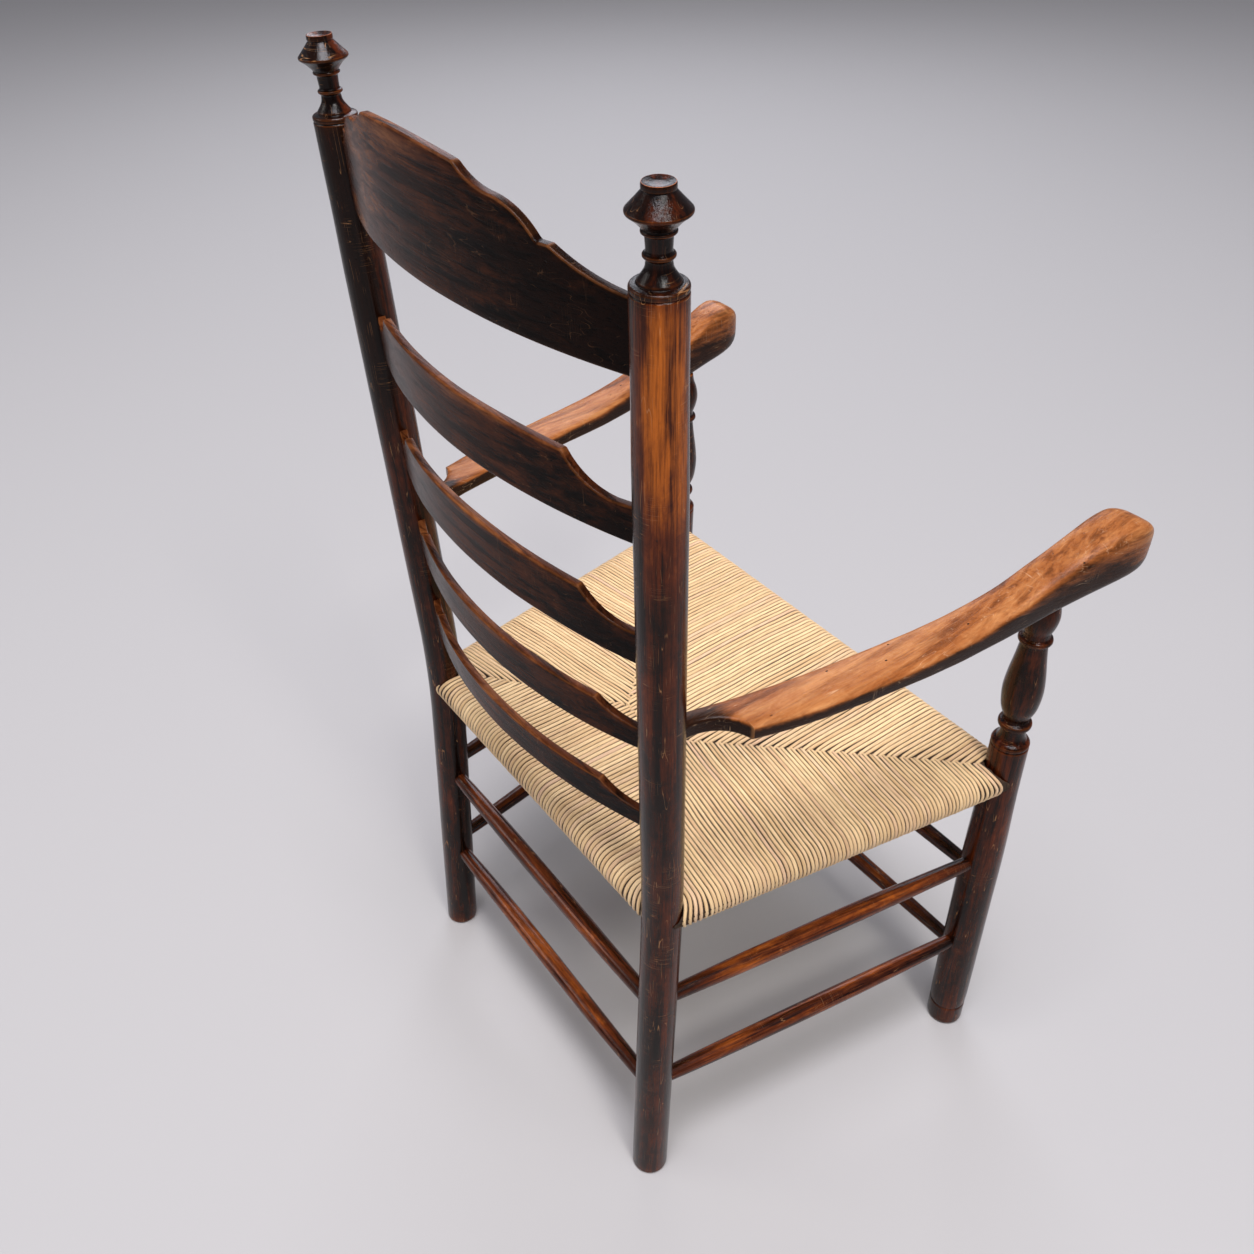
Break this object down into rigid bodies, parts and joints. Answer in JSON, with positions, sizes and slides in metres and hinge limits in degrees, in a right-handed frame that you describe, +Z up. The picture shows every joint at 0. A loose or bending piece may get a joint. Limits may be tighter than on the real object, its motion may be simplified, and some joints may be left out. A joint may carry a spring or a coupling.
{
  "type": "ladderback armchair",
  "caption": "Ladderback armchair with turned posts and finials, bowed shaped slats, sweeping arms on turned supports, round rungs and a woven rush seat.",
  "frame": {"origin": "on the floor, under the middle of the chair's box", "axes": "+Z up, -Y the way the sitter faces, +X towards the sitter's left"},
  "size_m": [0.601, 0.5334, 1.0806],
  "materials": {
    "dark_wood": "old dark brown stain under worn wax polish, satin",
    "arm_wood": "golden brown, polished by hands, dark at the sides",
    "rail_wood": "bare cleft wood",
    "rush": "twisted dry rush, matt",
    "stuffing": "loose dry rush"
  },
  "bodies": {
    "root": {"rear_post_right": "dark_wood", "rear_post_left": "dark_wood", "front_post_right": "dark_wood", "front_post_left": "dark_wood", "slat_crest": "dark_wood", "slat_second": "dark_wood", "slat_third": "dark_wood", "slat_fourth": "dark_wood", "slat_fifth": "dark_wood", "rung_rear_upper": "dark_wood", "rung_rear_lower": "dark_wood", "rung_front_upper": "dark_wood", "rung_front_lower": "dark_wood", "rung_right_upper": "dark_wood", "rung_right_lower": "dark_wood", "rung_left_upper": "dark_wood", "rung_left_lower": "dark_wood", "arm_right": "arm_wood", "arm_left": "arm_wood", "seat_rail_front": "rail_wood", "seat_rail_rear": "rail_wood", "seat_rail_right": "rail_wood", "seat_rail_left": "rail_wood", "rush_seat": "rush", "seat_stuffing": "stuffing"}
  },
  "joints": []
}
